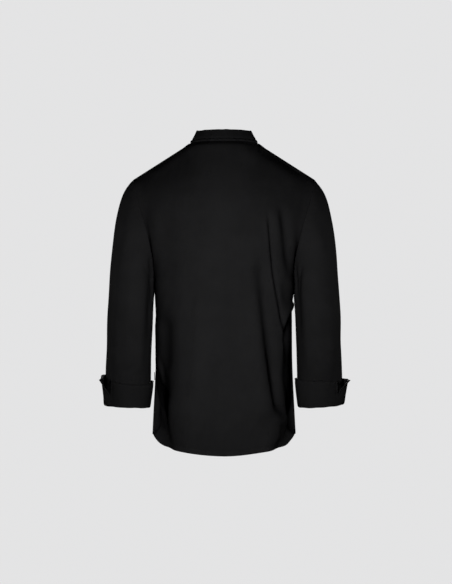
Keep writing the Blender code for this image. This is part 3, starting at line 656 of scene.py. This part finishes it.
fronts = {}
for side, way in (("left", 1), ("right", -1)):
    front = outer_face(f"front_{side}", f"jacket_front_{side}", CLOTH_WALL)
    lay_flat(front, 1, middle=0.12)
    subdivided(front, FINE)
    points = points_of(front)
    flat = points[:, (0, 2)]
    depth = creased(flat, FRONT_CREASES) + unevenness(flat, 11, length=0.12) * SWELLING
    loop = edge_loops(front)[0]
    hem = stretches(points, loop, lambda p: p[2] < HEM_ZONE)[0]
    lap = stretches(points, loop, lambda p: p[0] * way < 0 and HEM_ZONE < p[2] < LAP_TOP)[0]
    free = set(hem) | set(lap)
    sewn = [k for k in loop if k not in free]
    from_hem, _ = distance_to(points, points[hem])
    from_lap, _ = distance_to(points, points[lap])
    depth += HEM_CURL * ease(1 - from_hem / HEM_CURL_HEIGHT)
    depth += stitch_groove(from_hem, HEM_STITCH) + stitch_groove(from_lap, LAP_STITCH)
    depth += puckers(points, points[sewn], 12 + way)
    depth += puckers(points, points[hem], 15 + way, height=HEM_PUCKER_HEIGHT,
                     reach=HEM_PUCKER_REACH)
    press(front, sewn, depth, level=ease(1 - from_hem / HEM_LEVEL))
    surface = surface_of(front)
    lines = [(points_of(front)[hem], HEM_STITCH), (points_of(front)[lap], LAP_STITCH)]
    stitching = topstitch(f"front_{side}_stitching", lines, surface)
    turn_in(front, sewn)
    give_wall(front, CLOTH_WALL, black_twill)
    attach(front, "root")
    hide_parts(f"front_{side}")
    fronts[side] = surface

# --------------------------------------------------------------------------------- sleeves
# Each sleeve is one piece of the same twill, closed along the underarm and set into the
# armhole with a little fullness, so it swells over the seam and hangs nearly straight.
SLEEVE_AXIS = ((-0.651, 0.244, -0.033), (-0.600, 0.241, -0.024), (-0.550, 0.239, -0.014),
               (-0.480, 0.2365, -0.003), (-0.401, 0.233, 0.003), (-0.301, 0.225, 0.004),
               (-0.217, 0.197, 0.004), (-0.090, 0.190, 0.004))
SLEEVE_RADIUS = 0.062
SLEEVE_SWELLING = 0.0005


def round_sleeve(points, way):
    """Each point as metres round the sleeve, from its inner side over the back, and height."""
    axis = np.array(SLEEVE_AXIS)
    x = np.interp(points[:, 2], axis[:, 0], axis[:, 1])
    y = np.interp(points[:, 2], axis[:, 0], axis[:, 2])
    angle = np.arctan2(points[:, 1] - y, x - points[:, 0] * way) % (2 * math.pi)
    return np.column_stack([angle * SLEEVE_RADIUS, points[:, 2]])


def roll_flat(sheet, way):
    """A UV map in metres for a tube, cut open along its inner side."""
    around = round_sleeve(points_of(sheet), way)
    corner = np.empty(len(sheet.data.loops), int)
    sheet.data.loops.foreach_get("vertex_index", corner)
    starts = np.empty(len(sheet.data.polygons), int)
    sheet.data.polygons.foreach_get("loop_start", starts)
    sides = np.diff(np.append(starts, len(corner)))
    flat = around[corner]
    whole = 2 * math.pi * SLEEVE_RADIUS
    most = np.repeat(np.maximum.reduceat(flat[:, 0], starts), sides)
    flat[:, 0] += np.where(most - flat[:, 0] > whole / 2, whole, 0.0)
    layer = sheet.data.uv_layers.new(name="cut")
    layer.uv.foreach_set("vector", (flat * (-way, 1)).ravel())


# Creases of the sleeves: stops (degrees round, z in millimetres), width, depth, drop, ends
LEFT_SLEEVE_CREASES = (
    (((38, -300), (30, -350), (22, -405)), 7.0, 2.2, 0.2, (0.3, 0.3)),
    (((58, -262), (44, -318), (34, -372)), 6.0, 1.6, 0.2, (0.3, 0.3)),
    (((150, -395), (158, -470), (165, -560)), 12.0, 1.6, 0.3, (0.3, 0.3)),
    (((92, -470), (110, -500), (140, -512)), 9.0, 1.0, 0.2, (0.3, 0.3)),
    (((60, -540), (84, -560), (112, -566)), 8.0, 0.9, -0.2, (0.3, 0.3)),
    (((250, -420), (285, -455), (320, -470)), 9.0, 2.0, 0.2, (0.3, 0.3)),
    (((232, -500), (270, -520), (310, -515)), 8.0, 1.6, -0.2, (0.3, 0.3)),
    (((300, -320), (318, -370), (334, -410)), 8.0, 2.0, 0.2, (0.3, 0.3)),
    (((205, -160), (222, -240), (228, -330)), 12.0, 1.0, 0.2, (0.3, 0.3)),
    (((120, -150), (112, -230), (116, -330)), 14.0, 0.9, -0.2, (0.3, 0.3)),
)
RIGHT_SLEEVE_CREASES = (
    (((42, -292), (34, -340), (26, -400)), 7.0, 2.1, 0.2, (0.3, 0.3)),
    (((62, -296), (50, -345), (40, -392)), 5.5, 1.5, -0.2, (0.3, 0.3)),
    (((160, -420), (166, -500), (160, -580)), 12.0, 1.2, 0.2, (0.3, 0.3)),
    (((80, -500), (104, -524), (138, -530)), 9.0, 1.0, 0.2, (0.3, 0.3)),
    (((246, -440), (280, -470), (318, -478)), 9.0, 2.0, -0.2, (0.3, 0.3)),
    (((240, -530), (276, -545), (312, -535)), 8.0, 1.4, 0.2, (0.3, 0.3)),
    (((296, -330), (314, -376), (332, -418)), 8.0, 1.9, -0.2, (0.3, 0.3)),
    (((130, -150), (118, -240), (122, -340)), 14.0, 0.9, 0.2, (0.3, 0.3)),
)
# The fuller cloth at both sides of each sleeve's back
BOTH_SLEEVES_CREASES = (
    (((118, -190), (120, -300), (122, -430), (124, -580)), 13.0, -2.8, 0.0, (0.2, 0.15)),
    (((60, -250), (58, -350), (58, -460), (58, -580)), 12.0, -2.4, 0.0, (0.3, 0.15)),
)


def round_creases(around, creases):
    """Folds of a tube; a fold that crosses the cut line counts on both sides of it."""
    depth = np.zeros(len(around))
    whole = 2 * math.pi * SLEEVE_RADIUS
    for stops, width, deep, drop, ends in creases:
        line = np.array(stops) * (math.radians(SLEEVE_RADIUS), MM)
        for shift in (-whole, 0.0, whole):
            depth += crease(around + (shift, 0), line, width * MM, deep * MM, drop * MM, ends)
    return depth


for side, way, creases in (("left", 1, LEFT_SLEEVE_CREASES),
                           ("right", -1, RIGHT_SLEEVE_CREASES)):
    sleeve = outer_face(f"sleeve_{side}", f"jacket_sleeve_{side}", CLOTH_WALL)
    subdivided(sleeve, FINE)
    roll_flat(sleeve, way)
    points = points_of(sleeve)
    around = round_sleeve(points, way)
    depth = round_creases(around, creases + BOTH_SLEEVES_CREASES)
    depth += unevenness(points[:, (0, 2)], 21 + way, length=0.10) * SLEEVE_SWELLING
    loops = edge_loops(sleeve)
    sewn = [k for loop in loops for k in loop]
    for seed, loop in enumerate(loops, start=30 + way * 4):
        depth += puckers(points, points[loop], seed, height=0.0006, pitch=0.016, reach=0.014)
    press(sleeve, sewn, depth)
    turn_in(sleeve, sewn)
    give_wall(sleeve, CLOTH_WALL, black_twill)
    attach(sleeve, "root")
    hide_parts(f"sleeve_{side}")

# ----------------------------------------------------------------------------------- cuffs
# A band sewn to the sleeve's end and turned back up over itself. A split in the turned
# layer opens into a V at the back and lets its corner swing out. Edge-stitched all round.
CUFF_WALL = 0.0018
CUFF_STITCH = 0.005

for side, way in (("left", 1), ("right", -1)):
    cuff = outer_face(f"cuff_{side}", f"jacket_cuff_{side}", CUFF_WALL)
    subdivided(cuff, FINE)
    roll_flat(cuff, way)
    points = points_of(cuff)
    loops = sorted(edge_loops(cuff), key=lambda loop: np.ptp(points[loop][:, 2]))
    seam_loop, free_loop = loops[0], loops[-1]
    depth = unevenness(round_sleeve(points, way), 41 + way, length=0.06) * SLEEVE_SWELLING
    depth += puckers(points, points[free_loop], 44 + way, height=0.0004, reach=0.009)
    from_edge, _ = distance_to(points, points[free_loop])
    depth += stitch_groove(from_edge, CUFF_STITCH)
    press(cuff, seam_loop, depth)
    surface = surface_of(cuff)
    stitching = topstitch(f"cuff_{side}_stitching", [(points_of(cuff)[free_loop], CUFF_STITCH)],
                          surface)
    turn_in(cuff, seam_loop)
    give_wall(cuff, CUFF_WALL, black_twill)
    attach(cuff, "root")
    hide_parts(f"cuff_{side}")

# ---------------------------------------------------------------------------------- collar
# A stand-up band of two layers with a stiff interlining. Its ends meet at the centre front
# with rounded corners. One row of stitches follows its free edge and another its seam.
COLLAR_WALL = 0.0024
COLLAR_EDGE_STITCH = 0.004
COLLAR_SEAM_STITCH = 0.008
COLLAR_TUCK = 0.003         # how far the band reaches down behind the neck's edge
COLLAR_GROOVE = 0.0009
COLLAR_GROOVE_WIDTH = 0.0022
COLLAR_SWELL = 0.0008       # how far the seam's allowances pad out the cloth below the groove
COLLAR_SWELL_WIDTH = 0.003
COLLAR_SWELL_SHARE = 0.45   # of the way from the seam to its stitches
NECK_LINE = ((-0.058, 0.004, 0.064), (-0.068, 0.0015, 0.003))   # y, and the seam's height there
NECK_LINE_MARGIN = 0.006

collar_twill = twill("collar_twill", (0.0124, 0.0123, 0.0128), 0.8)
collar = outer_face("collar", "jacket_collar", COLLAR_WALL)
lay_flat(collar, -1, middle=0.03)
subdivided(collar, FINE)
points = points_of(collar)
collar_loop = edge_loops(collar)[0]


def neck_height(p):
    """Height of the collar's seam, which falls from the back of the neck to its front."""
    return np.interp(p[1], *NECK_LINE)


collar_seam = stretches(points, collar_loop,
                        lambda p: p[2] < neck_height(p) + NECK_LINE_MARGIN)[0]
start = collar_loop.index(collar_seam[-1])
ring = collar_loop[:-1]
ring = ring[start:] + ring[:start]
collar_free = [k for k in ring if k not in set(collar_seam)]
away, _ = distance_to(points, points[collar_seam])
groove = stitch_groove(away, COLLAR_SEAM_STITCH, COLLAR_GROOVE, COLLAR_GROOVE_WIDTH)
swell = stitch_groove(away, COLLAR_SEAM_STITCH * COLLAR_SWELL_SHARE, -COLLAR_SWELL,
                      COLLAR_SWELL_WIDTH)
depth = groove + swell + unevenness(points[:, (0, 2)], 52, length=0.024) * SWELLING
depth += puckers(points, points[collar_seam], 51, height=0.0003, pitch=0.009)
press(collar, collar_seam, depth, held=0.002)
surface = surface_of(collar)
collar_stitching = topstitch("collar_stitching", [
    (points_of(collar)[collar_free], COLLAR_EDGE_STITCH),
    (points_of(collar)[collar_seam], COLLAR_SEAM_STITCH)], surface)
turn_in(collar, collar_seam, reach=0.0, sink=0.0, fall=COLLAR_TUCK)
give_wall(collar, COLLAR_WALL, collar_twill)
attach(collar, "root")
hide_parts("collar")

# --------------------------------------------------------------------------------- buttons
# Ten moulded buttons of satin black plastic: a rounded rim round a shallow dish with four
# holes, sewn on with two bars of thread. Those of one row go through worked buttonholes.
BUTTON_RADIUS = 0.009
BUTTON_THICK = 0.0038
BUTTON_RIM = 0.0023
DISH_SLOPE = 0.0009
DISH_DEPTH = 0.0011
HOLE_SPREAD = 0.0021
HOLE_RADIUS = 0.0009
THREAD_SPREAD = 0.0003      # from one strand of a button's thread to the next
THREAD_GIRTH = 0.00026


def button_plastic_material():
    material = bpy.data.materials.new("button_plastic")
    material.use_nodes = True
    nodes, links = material.node_tree.nodes, material.node_tree.links
    shader = nodes["Principled BSDF"]
    shader.inputs["Roughness"].default_value = 0.5
    shader.inputs["Specular IOR Level"].default_value = 0.2
    place = nodes.new("ShaderNodeTexCoord")
    haze = nodes.new("ShaderNodeTexNoise")
    haze.inputs["Scale"].default_value = 420.0
    haze.inputs["Detail"].default_value = 4.0
    links.new(place.outputs["Object"], haze.inputs["Vector"])
    shades = nodes.new("ShaderNodeValToRGB")
    shades.color_ramp.elements[0].color = (0.008, 0.008, 0.0085, 1.0)
    shades.color_ramp.elements[1].color = (0.013, 0.013, 0.0138, 1.0)
    links.new(haze.outputs["Fac"], shades.inputs["Fac"])
    links.new(shades.outputs["Color"], shader.inputs["Base Color"])
    bump = nodes.new("ShaderNodeBump")
    bump.inputs["Strength"].default_value = 0.12
    bump.inputs["Distance"].default_value = 0.0001
    links.new(haze.outputs["Fac"], bump.inputs["Height"])
    links.new(bump.outputs["Normal"], shader.inputs["Normal"])
    return material


button_plastic = button_plastic_material()
bpy.ops.object.select_all(action="DESELECT")
bpy.ops.mesh.primitive_cylinder_add(vertices=48, radius=BUTTON_RADIUS, depth=BUTTON_THICK,
                                    location=(0, 0, BUTTON_THICK / 2))
button = bpy.context.active_object
button.name = "button_model"
bpy.ops.object.transform_apply(location=True)
bm = bmesh.new()
bm.from_mesh(button.data)
top = max(bm.faces, key=lambda f: f.calc_center_median().z)
bmesh.ops.inset_region(bm, faces=[top], thickness=BUTTON_RIM, depth=0.0)
bmesh.ops.inset_region(bm, faces=[top], thickness=DISH_SLOPE, depth=-DISH_DEPTH)
bm.to_mesh(button.data)
bm.free()
bevel = button.modifiers.new("rounded", "BEVEL")
bevel.width = 0.0009
bevel.segments = 3
bevel.limit_method = "ANGLE"
bevel.angle_limit = math.radians(30)
use_only(button)
bpy.ops.object.modifier_apply(modifier="rounded")
for x in (-HOLE_SPREAD, HOLE_SPREAD):
    for y in (-HOLE_SPREAD, HOLE_SPREAD):
        bpy.ops.object.select_all(action="DESELECT")
        bpy.ops.mesh.primitive_cylinder_add(vertices=14, radius=HOLE_RADIUS,
                                            depth=BUTTON_THICK * 3, location=(x, y, 0))
        drill = bpy.context.active_object
        hole = button.modifiers.new("hole", "BOOLEAN")
        hole.operation = "DIFFERENCE"
        hole.object = drill
        use_only(button)
        bpy.ops.object.modifier_apply(modifier="hole")
        bpy.data.objects.remove(drill)
button.data.shade_smooth()
button.data.set_sharp_from_angle(angle=math.radians(40))
button.data.materials.append(button_plastic)


def button_place(solid):
    """A button's own frame: the middle of its back and the way it faces."""
    points = points_of(solids[solid])
    middle = points.mean(axis=0)
    facing = np.linalg.svd(points - middle)[2][2]
    facing *= -np.sign(facing[1])
    across = np.cross((0, 0, 1), facing)
    across /= np.linalg.norm(across)
    up = np.cross(facing, across)
    reach = (points - middle) @ facing
    base = middle + facing * reach.min()
    turn = np.column_stack([across, up, facing])
    return Matrix.Translation(base) @ Matrix(turn.tolist()).to_4x4()


SLIT = (-0.0138, 0.0075)    # ends of a buttonhole, from the middle of its button
SLIT_STITCH = 0.0016
SLIT_PITCH = 0.0008
BAR_SPREAD = 0.0004         # from one thread of a bar to the next


def buttonhole(name, place, surface):
    """Close stitches along both lips of the slit, and a bar across each of its ends."""
    starts, ends = [], []
    for x in np.arange(*SLIT, SLIT_PITCH):
        for lip in (-1, 1):
            starts.append((x, lip * THREAD_RADIUS, 0))
            ends.append((x, lip * SLIT_STITCH, 0))
    for x in SLIT:
        for strand in (-BAR_SPREAD, 0.0, BAR_SPREAD):
            starts.append((x + strand, -SLIT_STITCH, 0))
            ends.append((x + strand, SLIT_STITCH, 0))
    starts = [surface.find_nearest(place @ Vector(p)) for p in starts]
    ends = [surface.find_nearest(place @ Vector(p)) for p in ends]
    return stitch_meshes(name, np.array([p[0] for p in starts]), np.array([p[0] for p in ends]),
                         np.array([p[1] for p in starts]))


for row in range(1, 6):
    worked = buttonhole(f"buttonhole_{row}", button_place(f"button_{row}_right"), fronts["left"])
    for side in ("left", "right"):
        solid = f"button_{row}_{side}"
        place = button_place(solid)
        mesh = button.data.copy()
        mesh.transform(place)
        piece = bpy.data.objects.new(f"sewn_{solid}", mesh)
        bpy.context.scene.collection.objects.link(piece)
        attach(piece, "root")
        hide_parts(solid)
        dish = BUTTON_THICK - DISH_DEPTH
        starts, ends = [], []
        for x in (-HOLE_SPREAD, HOLE_SPREAD):
            for strand in (-THREAD_SPREAD, 0.0, THREAD_SPREAD):
                starts.append(place @ Vector((x + strand, -HOLE_SPREAD, dish)))
                ends.append(place @ Vector((x + strand, HOLE_SPREAD, dish)))
        facing = np.tile(np.array(place.to_3x3() @ Vector((0, 0, 1))), (len(starts), 1))
        bars = stitch_meshes(f"thread_{solid}", np.array(starts), np.array(ends), facing,
                             radius=THREAD_GIRTH)
bpy.data.objects.remove(button)

# -------------------------------------------------------------------------------- side tab
# A blank loop of woven tape caught in the left side seam.
tab_tape = twill("tab_tape", (0.015, 0.015, 0.0155), 0.7, rib=0.0011)
tab = solids["side_tab"]
tab.data.materials.clear()
tab.data.materials.append(tab_tape)

# -------------------------------------------------------------------- floor, light, camera
# A pale round studio whose floor runs into its wall, a soft light near the camera and its
# match in front of the chest, weaker ones at both sides and above, and a camera level with
# the middle of the back.
STUDIO_RADIUS = 9.0
FLOOR_HEIGHT = -1.5
PALE = (0.775, 0.775, 0.78)

bpy.ops.object.select_all(action="DESELECT")
bpy.ops.mesh.primitive_uv_sphere_add(segments=64, ring_count=48, radius=STUDIO_RADIUS)
studio = bpy.context.active_object
studio.name = "studio"
for vertex in studio.data.vertices:
    vertex.co.z = max(vertex.co.z, FLOOR_HEIGHT)
studio.data.flip_normals()
pale = bpy.data.materials.new("pale_studio")
pale.use_nodes = True
pale.node_tree.nodes.remove(pale.node_tree.nodes["Principled BSDF"])
glow = pale.node_tree.nodes.new("ShaderNodeEmission")
glow.inputs["Color"].default_value = (*PALE, 1.0)
pale.node_tree.links.new(glow.outputs["Emission"],
                         pale.node_tree.nodes["Material Output"].inputs["Surface"])
studio.data.materials.append(pale)
studio.visible_diffuse = False
studio.visible_glossy = False
studio.visible_shadow = False

world = bpy.data.worlds.new("dim_room")
bpy.context.scene.world = world
world.use_nodes = True
world.node_tree.nodes["Background"].inputs["Color"].default_value = (1.0, 1.0, 1.0, 1.0)
world.node_tree.nodes["Background"].inputs["Strength"].default_value = 0.01


def soft_light(name, place, aim, size, power):
    data = bpy.data.lights.new(name, "AREA")
    data.shape = "SQUARE"
    data.size = size
    data.energy = power
    light = bpy.data.objects.new(name, data)
    light.location = place
    light.rotation_euler = (Vector(aim) - Vector(place)).to_track_quat("-Z", "Y").to_euler()
    bpy.context.scene.collection.objects.link(light)


MIDDLE = (0.0, 0.0, -0.37)
soft_light("key_behind", (0.0, 1.1, -0.37), MIDDLE, size=0.4, power=9.8)
soft_light("key_in_front", (0.0, -1.1, -0.37), MIDDLE, size=0.4, power=9.0)
for side, way in (("left", 1), ("right", -1)):
    soft_light(f"side_{side}", (1.5 * way, -0.6, -0.25), MIDDLE, size=0.5, power=4.4)
soft_light("top", (0.0, -0.35, 1.2), MIDDLE, size=0.8, power=0.3)

CAMERA_DISTANCE = 4.0
BLACK_POINT = 0.0015        # the least light that the picture shows
VIEW_HEIGHT = 1.46          # what the frame's long side shows at the garment
camera_data = bpy.data.cameras.new("camera")
camera_data.sensor_width = 36.0
camera_data.lens = camera_data.sensor_width * CAMERA_DISTANCE / VIEW_HEIGHT
camera = bpy.data.objects.new("camera", camera_data)
camera.location = (-0.005, CAMERA_DISTANCE, -0.369)
camera.rotation_euler = (math.radians(90), 0.0, math.radians(180))
bpy.context.scene.collection.objects.link(camera)
bpy.context.scene.camera = camera
film = bpy.context.scene.view_settings
film.view_transform = "Standard"
film.use_curve_mapping = True
film.curve_mapping.black_level = (BLACK_POINT, BLACK_POINT, BLACK_POINT)
film.curve_mapping.update()
